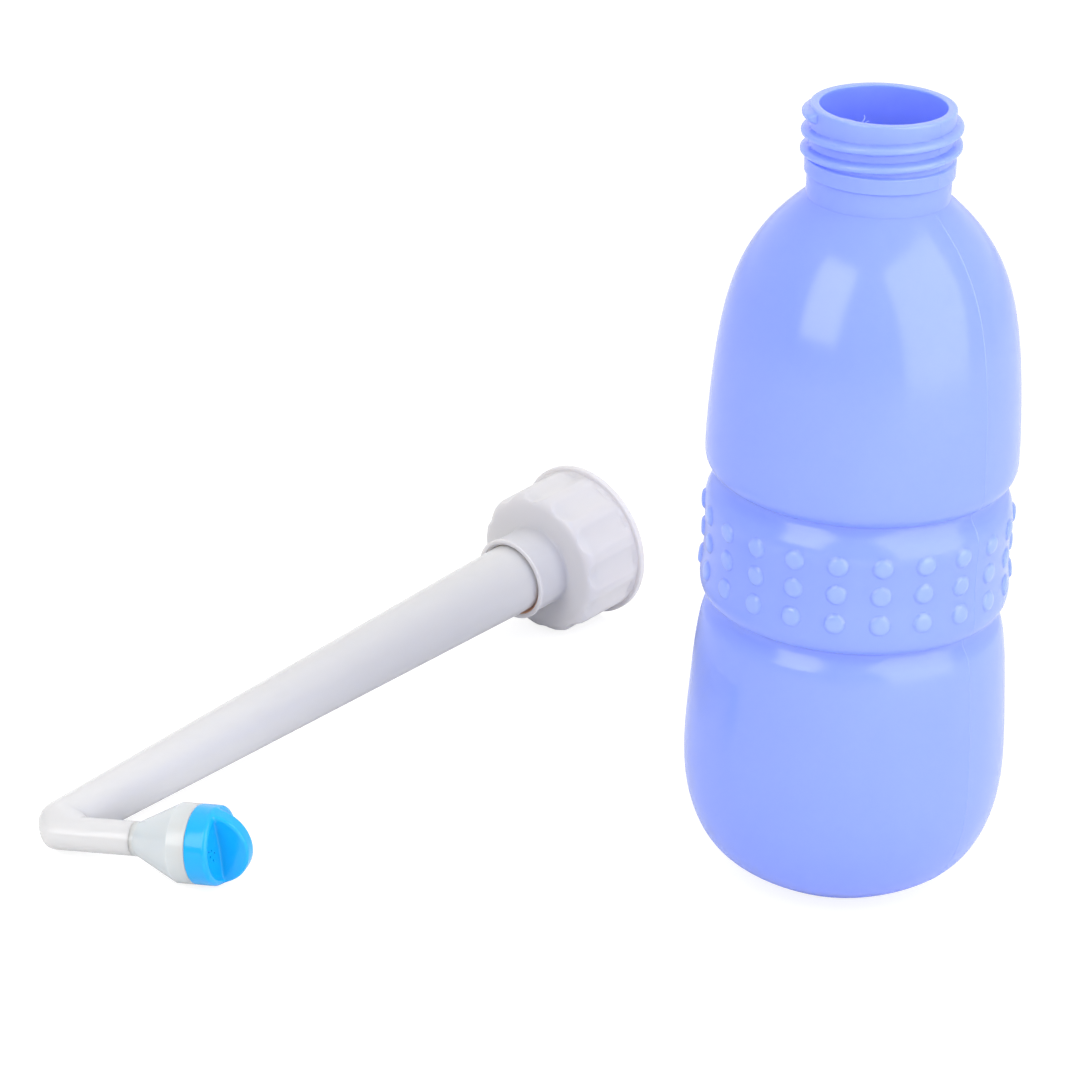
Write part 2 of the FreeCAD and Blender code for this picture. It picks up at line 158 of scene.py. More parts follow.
KNOB_SLEEVE_R = (7.5, 8.82)
KNOB_WALL = 1.6
KNOB_ROUND = 1.3
KNOB_DISH_R = 8.4
KNOB_DISH_DEPTH = 0.4
KNOB_CELL = 0.22               # edge of the grid's cubes that the knob's surface is found on
SNAP_Z = 40.6
SNAP_DEPTH = 0.3
SNAP_HALF = 0.35
FIN_HIGH = 7.7
FIN_HALF_WIDE = 9.85
FIN_THICK = 4.2
FIN_ROUND = 0.9
FIN_SCOOP_DEPTH = 0.7
FIN_SCOOP_HALF_WIDE = 8.4
FIN_TURN = math.radians(1.6)
SPRAY_HOLE_R = 0.3
SPRAY_HOLES = [(-5.4, 1.7), (-4.0, 0.2), (-5.1, -1.3), (-6.4, 0.4), (-6.9, 2.2)]

# ---- materials, in metres ---------------------------------------------------------------------
CLOUD_SCALE = 22.0             # clouds of colour per metre
BUMP_HEIGHT = 0.0002
ROUGHNESS_SPREAD = (0.9, 1.12)    # the least and most share of its roughness a plastic has

# ---- light and camera, in metres --------------------------------------------------------------
AMBIENT_FRONT = 0.5            # the sky's strength before the bottle, behind it, and more overhead
AMBIENT_BACK = 1.2
AMBIENT_TOP = 0.42
FLOOR_HALF = 6.0               # half the floor's width
FLOOR_DOWN = 0.0002            # how far the floor lies below the pieces
FLOOR_BOUNCE = 0.8             # how pale the floor is to the light that falls on it
FLOOR_SEEN = 0.3               # how pale the camera sees it, so that shadows stay faint
FLOOR_GLOW = 0.82
LIT_POINT = (-0.04, 0.02, 0.09)    # the softboxes face this
CAMERA_PLACE = (0.0, -0.861187, 0.475933)
CAMERA_TURNS = (-5.1714, 24.328, 1.5271)    # yaw, pitch down and roll, in degrees
FOCAL_PIXELS = 3828            # focal length in a picture IMAGE_PIXELS wide
IMAGE_PIXELS = 1080
SENSOR = 36.0


# ---- outlines ---------------------------------------------------------------------------------
def spline(points, step):
    """Points about step apart on the smooth curve through the given ones."""
    p = np.array(points, float)
    t = np.concatenate([[0.0], np.cumsum(np.linalg.norm(np.diff(p, axis=0), axis=1))])
    h = np.diff(t)
    count = len(p)
    system = np.zeros((count, count))
    right = np.zeros((count, 2))
    system[0, 0] = system[-1, -1] = 1
    for i in range(1, count - 1):
        system[i, i - 1 : i + 2] = h[i - 1], 2 * (h[i - 1] + h[i]), h[i]
        right[i] = 6 * ((p[i + 1] - p[i]) / h[i] - (p[i] - p[i - 1]) / h[i - 1])
    bend = np.linalg.solve(system, right)
    u = np.linspace(0, t[-1], max(2, round(t[-1] / step) + 1))
    k = np.clip(np.searchsorted(t, u, side="right") - 1, 0, count - 2)
    a = ((t[k + 1] - u) / h[k])[:, None]
    b = 1 - a
    square = (h[k] ** 2)[:, None] / 6
    return a * p[k] + b * p[k + 1] + ((a**3 - a) * bend[k] + (b**3 - b) * bend[k + 1]) * square


def line(corners, step):
    """An open line through (r, z, round) corners, rounded at each and never coarser than step."""
    points = []
    for i, (r, z, size) in enumerate(corners):
        here = np.array((r, z))
        if size == 0 or i in (0, len(corners) - 1):
            points.append(here)
            continue
        before = np.array(corners[i - 1][:2]) - here
        after = np.array(corners[i + 1][:2]) - here
        before /= np.linalg.norm(before)
        after /= np.linalg.norm(after)
        half = math.acos(max(-1.0, min(1.0, float(before @ after)))) / 2
        reach = size / math.tan(half)
        for t in np.linspace(0, 1, 6):
            points.append((1 - t) ** 2 * (here + before * reach) + 2 * t * (1 - t) * here
                          + t**2 * (here + after * reach))
    dense = [points[0]]
    for end in points[1:]:
        pieces = max(1, math.ceil(float(np.linalg.norm(end - dense[-1])) / step - 1e-6))
        start = dense[-1]
        for k in range(1, pieces + 1):
            dense.append(start + (end - start) * k / pieces)
    return np.array(dense)


def inset(points, first, last, amount):
    """The points of a curve moved inwards, square to it. first and last are its neighbours."""
    chain = [np.array(q, float) for q in [first, *points, last]]
    moved = []
    for before, here, after in zip(chain, chain[1:], chain[2:]):
        along = (after - before) / np.linalg.norm(after - before)
        moved.append((here[0] - along[1] * amount, here[1] + along[0] * amount))
    return moved


# ---- meshes -----------------------------------------------------------------------------------
def link(a, na, b, nb):
    """Faces between the ring of na points from index a and the ring of nb points from index b."""
    if na == 1:
        return [(a, b + (i + 1) % nb, b + i) for i in range(nb)]
    if nb == 1:
        return [(a + i, a + (i + 1) % na, b) for i in range(na)]
    if na == nb:
        return [(a + i, a + (i + 1) % na, b + (i + 1) % na, b + i) for i in range(na)]
    faces = []
    if nb == 3 * na:
        for i in range(na):
            j, k = b + 3 * i, (i + 1) % na
            faces += [(a + i, j + 1, j), (a + i, a + k, j + 2, j + 1),
                      (a + k, b + (3 * i + 3) % nb, j + 2)]
        return faces
    for i in range(nb):
        j, k = a + 3 * i, (i + 1) % nb
        faces += [(b + i, j, j + 1), (b + i, j + 1, j + 2, b + k),
                  (b + k, j + 2, a + (3 * i + 3) % na)]
    return faces


def mesh_object(name, points, faces, place):
    """A smooth-shaded object from points in millimetres in the frame that place describes."""
    rotation, origin = place
    mesh = bpy.data.meshes.new(name)
    mesh.from_pydata((points @ rotation.T + origin) * MM, [], faces)
    mesh.update()
    mesh.polygons.foreach_set("use_smooth", [True] * len(mesh.polygons))
    mesh.set_sharp_from_angle(angle=SHARP_ANGLE)
    obj = bpy.data.objects.new(name, mesh)
    bpy.context.scene.collection.objects.link(obj)
    return obj


def skin(name, rings, place, closed=False):
    """One surface over a row of rings, joined end to end if closed."""
    starts = np.concatenate([[0], np.cumsum([len(ring) for ring in rings])])
    faces = []
    for i in range(len(rings) - 1):
        faces += link(int(starts[i]), len(rings[i]), int(starts[i + 1]), len(rings[i + 1]))
    if closed:
        faces += link(int(starts[len(rings) - 1]), len(rings[-1]), 0, len(rings[0]))
    return mesh_object(name, np.vstack(rings), faces, place)


def ring(r, z, azimuths):
    """Points at azimuths in degrees from -Y towards +X; r and z are numbers or arrays."""
    a = np.radians(azimuths)
    return np.stack([r * np.sin(a), -r * np.cos(a), z + 0 * a], axis=1)


def spun(name, outline, columns, place):
    """A closed outline turned round Z."""
    azimuths = np.arange(columns) * 360 / columns
    return skin(name, [ring(r, z, azimuths) for r, z in outline], place, closed=True)


def paint(piece, values):
    """Keeps a number from 0 to 1 at each point of a piece, which its material mixes colours by."""
    layer = piece.data.attributes.new("tint_and_painted_shade", "FLOAT", "POINT")
    layer.data.foreach_set("value", np.clip(values, 0, 1).astype(np.float32))


def soft_max(a, b, size):
    """The larger of two numbers, with the corner between them rounded over size."""
    return (a + b + np.sqrt((a - b) ** 2 + size**2)) / 2


def soft_min(a, b, size):
    """The smaller of two numbers, rounded in the same way."""
    return -soft_max(-a, -b, size)


# ---- frames -----------------------------------------------------------------------------------
joints = {joint["name"]: joint for joint in frame["joints"]}
cap_z = np.array(joints["spout_swivel"]["axis"])
stub_z = np.array(joints["knob_turn"]["axis"])
cap_x = stub_z - cap_z * (stub_z @ cap_z)
cap_x /= np.linalg.norm(cap_x)
cap_y = np.cross(cap_z, cap_x)
stub_x = np.cross(cap_y, stub_z)
cap_origin = np.array(joints["spout_swivel"]["pos_m"]) / MM - cap_z * RECESS_Z
stub_origin = np.array(joints["knob_turn"]["pos_m"]) / MM - stub_z * HEAD_END

ROW = (np.identity(3), np.zeros(3))
CAP = (np.column_stack([cap_x, cap_y, cap_z]), cap_origin)
NOZZLE = (np.column_stack([stub_x, cap_y, stub_z]), stub_origin)


# ---- bottle -----------------------------------------------------------------------------------
def neck_thread(azimuth, z):
    """How far the ridge stands out: 0 beside it and 1 on its crest."""
    height = np.zeros_like(azimuth)
    for turn in (-2, -1, 0):
        lap = azimuth + 360 * turn
        fade = np.clip((NECK_THREAD_TO - lap) / 7, 0, 1) * np.clip(
            (lap - NECK_THREAD_FROM) / 35, 0, 1)
        away = np.abs(z - NECK_THREAD_FRONT_Z - THREAD_PITCH * lap / 360) / NECK_THREAD_HALF
        ridge = np.clip(1 - np.minimum(away, 1) ** 2.6, 0, 1) ** 0.8
        height = np.maximum(height, ridge * np.sqrt(np.clip(1 - (1 - fade) ** 2, 0, 1)))
    return height


def dot_rise(azimuth, z):
    """How far the grip's buttons stand out: flat on top, and rounded at their rims."""
    column = (azimuth - DOT_FIRST_AZIMUTH) * DOT_COLUMNS / 360
    turn = np.radians((column - np.round(column)) * 360 / DOT_COLUMNS)
    rise = np.zeros_like(azimuth)
    for height, band_r in DOT_ROWS:
        away = np.hypot(turn * band_r, z - height) / DOT_R
        rise = np.maximum(rise, DOT_HEIGHT * np.sqrt(np.clip(1 - away**3.4, 0, 1)))
    return rise


def bottle_r(r, z, azimuth):
    """The outer radius at a height and azimuths, with dots, thread and moulding seam."""
    out = np.full_like(azimuth, r)
    if DENSE_Z[0] <= z <= DENSE_Z[1]:
        out = out + dot_rise(azimuth, z)
    if NECK_RING_Z[1] < z < RIM_Z - 0.2:
        out = out + (NECK_THREAD_R - RIM_R) * neck_thread(azimuth, z)
    for seam in (SEAM_AZIMUTH, SEAM_AZIMUTH + 180):
        away = np.radians((azimuth - seam + 180) % 360 - 180) * r
        out = out + SEAM_HEIGHT * np.exp(-((away / SEAM_HALF) ** 2))
    return out


def bottle_outline():
    """(r, z) from the middle of the base up the outside and just over the rim."""
    base = [(BASE_RING_R * t, PUSH_UP * (1 - t**2.6)) for t in np.linspace(0, 1, 9)]
    lower = spline([(BASE_R, 0.0)] + LOWER_BODY + [LOWER_GROOVE], 0.4)
    band = spline([LOWER_GROOVE] + BAND + [UPPER_GROOVE], 0.26)
    upper = spline([UPPER_GROOVE] + UPPER_BODY + [(NECK_R, NECK_FOOT_Z)], 0.4)
    lower = [q for i, q in enumerate(lower) if i % 3 == 0 or q[1] > 71]
    upper = [q for i, q in enumerate(upper) if i % 3 == 0 or q[1] < 113]
    neck = line([(NECK_R, NECK_FOOT_Z, 0), (NECK_R, NECK_RING_Z[0], 0.3),
                 (NECK_RING_R, NECK_RING_Z[0] + 0.4, 0.3), (NECK_RING_R, NECK_RING_Z[1], 0.3),
                 (RIM_R, NECK_RING_Z[1] + 0.4, 0.2), (RIM_R, RIM_Z - 1.0, 0)], 0.2)
    rim = line([(RIM_R, RIM_Z - 1.0, 0), (RIM_R, RIM_Z, 0.5), (NECK_BORE_R, RIM_Z, 0.35),
                (NECK_BORE_R, RIM_Z - 4, 0)], 0.5)
    parts = (lower, band[1:], upper[1:], neck[1:], rim[1:])
    return base[1:] + [tuple(q) for part in parts for q in part]


def bottle_inner_outline():
    """(r, z) from under the rim down the inside to near the middle of the base."""
    lower = inset(LOWER_BODY, (BASE_R, 0), LOWER_GROOVE, WALL)
    band = inset(BAND, LOWER_GROOVE, UPPER_GROOVE, WALL)
    upper = inset(UPPER_BODY, UPPER_GROOVE, (NECK_R, NECK_FOOT_Z), WALL)
    low = (LOWER_GROOVE[0] - WALL, LOWER_GROOVE[1])
    high = (UPPER_GROOVE[0] - WALL, UPPER_GROOVE[1])
    neck = line([(NECK_BORE_R, RIM_Z - 4, 0), (NECK_BORE_R, NECK_FOOT_Z, 0)], 2.0)
    parts = [neck[1:], spline(upper + [(NECK_BORE_R, NECK_FOOT_Z)], 1.5)[::-1][1:],
             spline([low] + band + [high], 0.9)[::-1],
             spline([(BASE_R, WALL)] + lower + [low], 1.5)[::-1][1:]]
    base = [(BASE_RING_R * t, WALL + PUSH_UP * (1 - t**2.6)) for t in np.linspace(1, 0, 9)[:-1]]
    return [tuple(q) for part in parts for q in part] + base


def bottle_columns():
    """Azimuths of the mesh's columns, closer together at the two moulding seams."""
    columns = list(np.arange(BOTTLE_COLUMNS) * 360 / BOTTLE_COLUMNS)
    for seam in (SEAM_AZIMUTH, SEAM_AZIMUTH + 180):
        columns = [a for a in columns if abs(a - seam) > 0.8]
        columns += [seam + k * SEAM_HALF for k in range(-4, 5)]
    return np.array(sorted(columns))


def make_bottle():
    columns = bottle_columns()
    following = np.append(columns[1:], columns[0] + 360)
    fine = (columns[:, None] + (following - columns)[:, None] * np.arange(3) / 3).ravel()
    rings = [np.array([(0.0, 0.0, PUSH_UP)])]
    tints = [np.zeros(1)]
    for r, z in bottle_outline():
        dense = DENSE_Z[0] <= z <= DENSE_Z[1] and r > 20
        azimuths = fine if dense else columns
        rings.append(ring(bottle_r(r, z, azimuths) if r > RELIEF_FROM_R else r, z, azimuths))
        tints.append(dot_rise(azimuths, z) / DOT_HEIGHT if dense else np.zeros(len(azimuths)))
    for r, z in bottle_inner_outline():
        rings.append(ring(r, z, columns))
        tints.append(np.zeros(len(columns)))
    rings.append(np.array([(0.0, 0.0, PUSH_UP + WALL)]))
    tints.append(np.zeros(1))
    piece = skin("bottle_body", rings, ROW)
    paint(piece, np.concatenate(tints))
    return piece


def make_whiskers():
    """The hairs of moulding flash, as one curve object."""
    curve = bpy.data.curves.new("rim_whisker", "CURVE")
    curve.dimensions = "3D"
    curve.bevel_depth = WHISKER_R * MM
    curve.use_fill_caps = True
    for hair in WHISKERS:
        thread = curve.splines.new("NURBS")
        thread.points.add(len(hair) - 1)
        for point, (r, azimuth, z) in zip(thread.points, hair):
            a = math.radians(azimuth)
            point.co = (r * math.sin(a) * MM, -r * math.cos(a) * MM, z * MM, 1)
        thread.order_u = 3
        thread.use_endpoint_u = True
    obj = bpy.data.objects.new("rim_whisker", curve)
    bpy.context.scene.collection.objects.link(obj)
    return obj


# ---- cap --------------------------------------------------------------------------------------
def flute_r(azimuth):
    """The radius of the grip's hollows at azimuths measured from +X of the cap's frame."""
    step = 360 / FLUTES
    away = np.radians((azimuth + step / 2) % step - step / 2)
    centre = SKIRT_R + FLUTE_CUT_R - FLUTE_DEPTH
    return centre * np.cos(away) - np.sqrt(FLUTE_CUT_R**2 - (centre * np.sin(away)) ** 2)


def cap_thread(azimuth, z):
    """How far the cap's ridge stands in from its bore: 0 beside it and 1 on its crest."""
    height = np.zeros_like(azimuth)
    for turn in (0, 1, 2):
        lap = azimuth + 360 * turn
        left = 360 * CAP_THREAD_TURNS - lap
        fade = np.clip(lap / CAP_THREAD_FADE, 0, 1) * np.clip(left / CAP_THREAD_FADE, 0, 1)
        away = np.abs(z - CAP_THREAD_START_Z - THREAD_PITCH * lap / 360) / CAP_THREAD_HALF
        height = np.maximum(height, np.clip(1 - np.minimum(away, 1) ** 2.4, 0, 1) ** 0.8 * fade)
    return height


def make_cap():
    azimuths = np.arange(FLUTES * FLUTE_COLUMNS) * 360 / (FLUTES * FLUTE_COLUMNS)
    outside = line([(CAP_BORE_R, 0, 0), (FLANGE_R, 0, 0.5), (FLANGE_R, FLANGE_THICK, 0.5),
                    (SKIRT_R, FLANGE_THICK, 0.3), (SKIRT_R, FRONT_Z, SHOULDER_ROUND),
                    (COLLAR_R, FRONT_Z, 0.9),
                    (COLLAR_R, LIP_Z - 1.1, 0.2), (LIP_R, LIP_Z - 0.7, 0.35), (LIP_R, LIP_Z, 0.35),
                    (COLLAR_BORE_R, LIP_Z, 0.25), (COLLAR_BORE_R, WIPER_Z[1], 0.1),
                    (WIPER_R, WIPER_Z[1] - 0.2, 0.2), (WIPER_R, WIPER_Z[0] + 0.2, 0.2),
                    (COLLAR_BORE_R, WIPER_Z[0], 0.1), (COLLAR_BORE_R, RECESS_Z, 0.2),
                    (RECESS_R, RECESS_Z, 0.2), (RECESS_R, SEAT_Z, 0.2), (CAP_BORE_R, SEAT_Z, 0.3),
                    (CAP_BORE_R, SEAT_Z - 0.5, 0)], 0.8)
    inside = line([(CAP_BORE_R, SEAT_Z - 0.5, 0), (CAP_BORE_R, 0.4, 0)], 0.25)
    rings = []
    for r, z in outside:
        if z > FLUTE_FROM_Z and r > SKIRT_R - SHOULDER_ROUND - 0.1:
            share = min(1.0, (z - FLUTE_FROM_Z) / FLUTE_RUN_IN)
            share *= 1 + SCALLOP * max(0.0, (z - SEAT_Z) / (FRONT_Z - SEAT_Z))
            hollow = SKIRT_R + (flute_r(azimuths) - SKIRT_R) * share
            r = soft_min(np.full_like(azimuths, r), hollow, 0.1)
        rings.append(ring_x(r, z, azimuths))
    for r, z in inside[1:]:
        rings.append(ring_x(r - (CAP_BORE_R - CAP_THREAD_CREST_R) * cap_thread(azimuths, z),
                            z, azimuths))
    piece = skin("cap_shell", rings, CAP, closed=True)
    # paints warm shade into the gap between the collar and the tube, on its low side
    paint(piece, gap_painted_shade(np.vstack(rings)))
    return piece


def gap_painted_shade(points):
    """How much painted warm shade each of the cap's points takes in the gap round the tube: all of
    it on the low side.
    """
    low_side = (CAP[0].T @ np.array(PAINTED_SHADE_SIDE))[:2]
    low_side /= np.linalg.norm(low_side)
    radius = np.hypot(points[:, 0], points[:, 1])
    facing = points[:, :2] @ low_side / radius
    in_gap = (radius < COLLAR_BORE_R + 0.1) & (points[:, 2] < LIP_Z - 0.3)
    return in_gap * (facing - 0.35) / 0.4


def ring_x(r, z, azimuths):
    """As ring, with azimuths from +X towards +Y."""
    return ring(r, z, azimuths + 90)


# ---- spout ------------------------------------------------------------------------------------
def round_cone(points, a, ra, b, rb):
    """Distance to the solid that touches a ball at a and a ball at b all round."""
    way = b - a
    length = np.linalg.norm(way)
    way = way / length
    along = (points - a) @ way
    across = np.linalg.norm(points - a - along[:, None] * way, axis=1)
    taper = (ra - rb) / length
    slope = math.sqrt(1 - taper**2)
    shifted = np.clip(along - across * taper / slope, 0, length)
    centre = a + shifted[:, None] * way
    return np.linalg.norm(points - centre, axis=1) - (ra + (rb - ra) * shifted / length)


def tube_r(z):
    """Outer radius of the long leg."""
    knuckle_z = BEND_Z - KNUCKLE_BACK
    return KNUCKLE_R + (TUBE_LIP_R - KNUCKLE_R) * (knuckle_z - z) / (knuckle_z - LIP_Z)


STUB_WAY = np.array((math.sin(BEND_TURN), 0.0, math.cos(BEND_TURN)))
CORNER = np.array((0.0, 0.0, BEND_Z))
KNUCKLE = np.array((0.0, 0.0, BEND_Z - KNUCKLE_BACK))
BEND_MIDDLE = np.array((4.5, 0.0, 199.0))    # the mesh is smoothed within this reach of it
BEND_REACH = 8.0
SOFTEN_ROUNDS = 25
SOFTEN_SHARES = (0.6, -0.62)           # of each turn in and out
FAN = np.array((8.4, 0.0, 194.4))      # the bend's sections turn about this point, in the crotch


def spout_field(points, wall):
    """Distance to the spout's outside, or to its bore where wall is the wall's thickness."""
    start = np.array((0.0, 0.0, STOP_Z[0] - 30))
    long_leg = round_cone(points, start, tube_r(start[2]) - wall, KNUCKLE, KNUCKLE_R - wall)
    root = CORNER + STUB_WAY * STUB_START
    elbow = round_cone(points, KNUCKLE, KNUCKLE_R - wall, root, STUB_R - wall)
    stub = round_cone(points, root, STUB_R - wall, CORNER + STUB_WAY * 40, STUB_R - wall)
    web_end = CORNER + STUB_WAY * WEB_END
    web = round_cone(points, KNUCKLE, KNUCKLE_R - wall, web_end, STUB_R - wall)
    return np.minimum(np.minimum(long_leg, elbow), np.minimum(stub, web))


def spout_sections():
    """(centre, outward direction) of each section: up the long leg, round the fan, out the stub."""
    sections = []
    coarse = np.arange(STOP_Z[1], SPOUT_FINE_Z, 3.2)
    fine = np.arange(SPOUT_FINE_Z + 0.5, FAN[2] - 0.4, 1.0)
    for z in [*coarse, *fine]:
        sections.append((np.array((0.0, 0.0, z)), np.array((-1.0, 0.0, 0.0))))
    corner_away = (FAN - CORNER) @ STUB_WAY
    stub_reach = np.linalg.norm(CORNER + STUB_WAY * corner_away - FAN)
    for t in np.linspace(0, 1, 49):
        turn = BEND_TURN * t
        out = np.array((-math.cos(turn), 0.0, math.sin(turn)))
        reach = FAN[0] + (stub_reach - FAN[0]) * (3 * t**2 - 2 * t**3)
        sections.append((FAN + out * reach, out))
    out = np.array((-math.cos(BEND_TURN), 0.0, math.sin(BEND_TURN)))
    for s in np.linspace(corner_away, STUB_END, 12)[1:]:
        sections.append((CORNER + STUB_WAY * s, out))
    return sections


def section_rings(sections, wall):
    """The ring in which each section's plane cuts the spout's outside or bore."""
    rings = []
    turn = np.arange(SPOUT_COLUMNS) * 2 * math.pi / SPOUT_COLUMNS
    for centre, out in sections:
        rays = np.cos(turn)[:, None] * out + np.sin(turn)[:, None] * np.array((0.0, 1.0, 0.0))
        near = np.zeros(SPOUT_COLUMNS)
        far = np.full(SPOUT_COLUMNS, 16.0)
        for _ in range(26):
            middle = (near + far) / 2
            inside = spout_field(centre + rays * middle[:, None], wall) < 0
            near = np.where(inside, middle, near)
            far = np.where(inside, far, middle)
        rings.append(centre + rays * near[:, None])
    return rings


def soften(rings):
    """Smooths the rings' points at the bend, by turns in and out so that they don't shrink."""
    block = np.array(rings)
    near = 1.4 - np.linalg.norm(block - BEND_MIDDLE, axis=2) / BEND_REACH
    weight = np.clip(near / 0.4, 0, 1)[:, :, None]
    for share in SOFTEN_SHARES * SOFTEN_ROUNDS:
        mean = (np.roll(block, 1, 0) + np.roll(block, -1, 0)
                + np.roll(block, 1, 1) + np.roll(block, -1, 1)) / 4
        block[1:-1] += (share * weight * (mean - block))[1:-1]
    return list(block)


def make_spout():
    sections = spout_sections()
    outside = soften(section_rings(sections, 0.0))
    inside = section_rings(sections, TUBE_WALL)
    flange = [(tube_r(STOP_Z[0]) - TUBE_WALL, STOP_Z[0]), (STOP_R - 0.2, STOP_Z[0]),
              (STOP_R, STOP_Z[0] + 0.2), (STOP_R, STOP_Z[1] - 0.2), (STOP_R - 0.2, STOP_Z[1])]
    # The sections' first direction is -X, so the flange's points start there and run the same way.
    turn = np.radians(np.arange(SPOUT_COLUMNS) * 360 / SPOUT_COLUMNS)
    start = [np.column_stack([-r * np.cos(turn), r * np.sin(turn), np.full(SPOUT_COLUMNS, z)])
             for r, z in flange]
    return skin("spout", outside + inside[::-1] + start, CAP, closed=True)


# ---- nozzle -----------------------------------------------------------------------------------
def make_head():
    wall = HEAD_R - HEAD_BORE_R
    snap_reach = SNAP_HALF + SNAP_DEPTH
    outline = line([(HEAD_SPIGOT_BORE_R, STUB_END - HEAD_SPIGOT_LONG, 0),
                    (HEAD_SPIGOT_R, STUB_END - HEAD_SPIGOT_LONG, 0),
                    (HEAD_SPIGOT_TIP_R, STUB_END, 0),
                    (STUB_R, STUB_END, 0.1), (STUB_R, HEAD_NECK_END, 0.6),
                    (HEAD_R, HEAD_CONE_END, 0.5), (HEAD_R, HEAD_END, 0.2),
                    (HEAD_BORE_R, HEAD_END, 0.15), (HEAD_BORE_R, SNAP_Z + snap_reach, 0),
                    (HEAD_BORE_R + SNAP_DEPTH, SNAP_Z + SNAP_HALF, 0),
                    (HEAD_BORE_R + SNAP_DEPTH, SNAP_Z - SNAP_HALF, 0),
                    (HEAD_BORE_R, SNAP_Z - snap_reach, 0), (HEAD_BORE_R, PLATE_START, 0),
                    (HEAD_BORE_R - wall, PLATE_START, 0),
                    (HEAD_SPIGOT_BORE_R, HEAD_NECK_END + 0.5, 0)], 1.2)
    return spun("nozzle_head", outline, HEAD_COLUMNS, NOZZLE)


def knob_field(points):
    """Distance to the knob: a dished puck with a half-moon fin, spray holes and a sleeve."""
    c, s = math.cos(FIN_TURN), math.sin(FIN_TURN)
    x = points[:, 0] * c + points[:, 1] * s
    y = points[:, 1] * c - points[:, 0] * s
    z = points[:, 2]
    rho = np.hypot(x, y)
    side, top = rho - (HEAD_R - KNOB_ROUND), z - (KNOB_END - KNOB_ROUND)
    puck = (np.hypot(np.maximum(side, 0), np.maximum(top, 0))
            + np.minimum(np.maximum(side, top), 0) - KNOB_ROUND)
    puck = soft_max(puck, KNOB_START - z, 0.15)
    dish = soft_max(rho - KNOB_DISH_R, KNOB_END - KNOB_DISH_DEPTH - z, 0.3)
    puck = soft_max(puck, -dish, 0.3)
    rise = FIN_HIGH + KNOB_ROUND
    dome_r = (FIN_HALF_WIDE**2 + rise**2) / (2 * rise)
    dome_z = KNOB_END + FIN_HIGH - dome_r
    thick = np.abs(x) - (FIN_THICK / 2 - FIN_ROUND)
    dome = np.hypot(y, z - dome_z) - (dome_r - FIN_ROUND)
    fin = (np.hypot(np.maximum(thick, 0), np.maximum(dome, 0))
           + np.minimum(np.maximum(thick, dome), 0) - FIN_ROUND)
    fin = np.maximum(fin, KNOB_END - KNOB_ROUND - z)
    ball_r = (FIN_SCOOP_HALF_WIDE**2 + FIN_SCOOP_DEPTH**2) / (2 * FIN_SCOOP_DEPTH)
    ball_x = FIN_THICK / 2 - FIN_SCOOP_DEPTH + ball_r
    scoop = np.sqrt((np.abs(x) - ball_x) ** 2 + y**2 + (z - KNOB_END) ** 2) - ball_r
    fin = soft_max(fin, -scoop, 0.25)
    shell = soft_min(puck, fin, 0.5)
    hollow = np.maximum(rho - KNOB_SLEEVE_R[0], z - (KNOB_END - KNOB_WALL))
    shell = np.maximum(shell, -hollow)
    bead = SNAP_DEPTH * np.clip(1.5 - np.abs(z - SNAP_Z) / 0.4, 0, 1)
    sleeve = np.maximum(rho - KNOB_SLEEVE_R[1] - bead, KNOB_SLEEVE_R[0] - rho)
    sleeve = np.maximum(sleeve, np.maximum(KNOB_SLEEVE_START - z, z - KNOB_START - 0.5))
    shell = np.minimum(shell, sleeve)
    for hole_x, hole_y in SPRAY_HOLES:
        hole = np.hypot(x - hole_x, y - hole_y) - SPRAY_HOLE_R
        shell = soft_max(shell, -hole, 0.05)
    return shell


def solid_points(field, low, high, cell):
    """Points and quads of the surface where field is 0, found on a grid of cubes."""
    axes = [np.arange(a, b + cell, cell) for a, b in zip(low, high)]
    corners = np.stack(np.meshgrid(*axes, indexing="ij"), axis=-1)
    shape = corners.shape[:3]
    inside = field(corners.reshape(-1, 3)).reshape(shape) < 0
    count = sum(inside[i : shape[0] - 1 + i, j : shape[1] - 1 + j, k : shape[2] - 1 + k].astype(int)
                for i in (0, 1) for j in (0, 1) for k in (0, 1))
    active = (count > 0) & (count < 8)
    number = np.full(active.shape, -1)
    number[active] = np.arange(active.sum())
    points = corners[:-1, :-1, :-1][active] + cell / 2
    for _ in range(8):
        value = field(points)
        slope = np.stack([(field(points + step) - field(points - step)) / 0.02
                          for step in np.identity(3) * 0.01], axis=1)
        move = slope * (value / np.maximum((slope**2).sum(1), 0.2))[:, None]
        points = points - np.clip(0.8 * move, -cell / 2, cell / 2)
    faces = []
    for axis in range(3):
        ahead = [slice(None)] * 3
        behind = [slice(None)] * 3
        ahead[axis], behind[axis] = slice(1, None), slice(None, -1)
        change = inside[tuple(behind)].astype(int) - inside[tuple(ahead)].astype(int)
        u, v = (axis + 1) % 3, (axis + 2) % 3
        where = np.argwhere(change != 0)
        where = where[(where[:, u] > 0) & (where[:, v] > 0)
                      & (where[:, u] < shape[u] - 1) & (where[:, v] < shape[v] - 1)]
        sign = change[tuple(where.T)]
        around = []
        for du, dv in ((-1, -1), (0, -1), (0, 0), (-1, 0)):
            cellwise = where.copy()
            cellwise[:, u] += du
            cellwise[:, v] += dv
            around.append(number[tuple(cellwise.T)])
        quads = np.stack(around, axis=1)
        quads[sign < 0] = quads[sign < 0][:, ::-1]
        faces += [tuple(int(n) for n in quad) for quad in quads]
    return points, faces


def make_knob():
    low = (-HEAD_R - 0.5, -HEAD_R - 0.5, KNOB_SLEEVE_START - 0.5)
    high = (HEAD_R + 0.5, HEAD_R + 0.5, KNOB_END + FIN_HIGH + 0.5)
    points, faces = solid_points(knob_field, low, high, KNOB_CELL)
    return mesh_object("nozzle_knob", points, faces, NOZZLE)


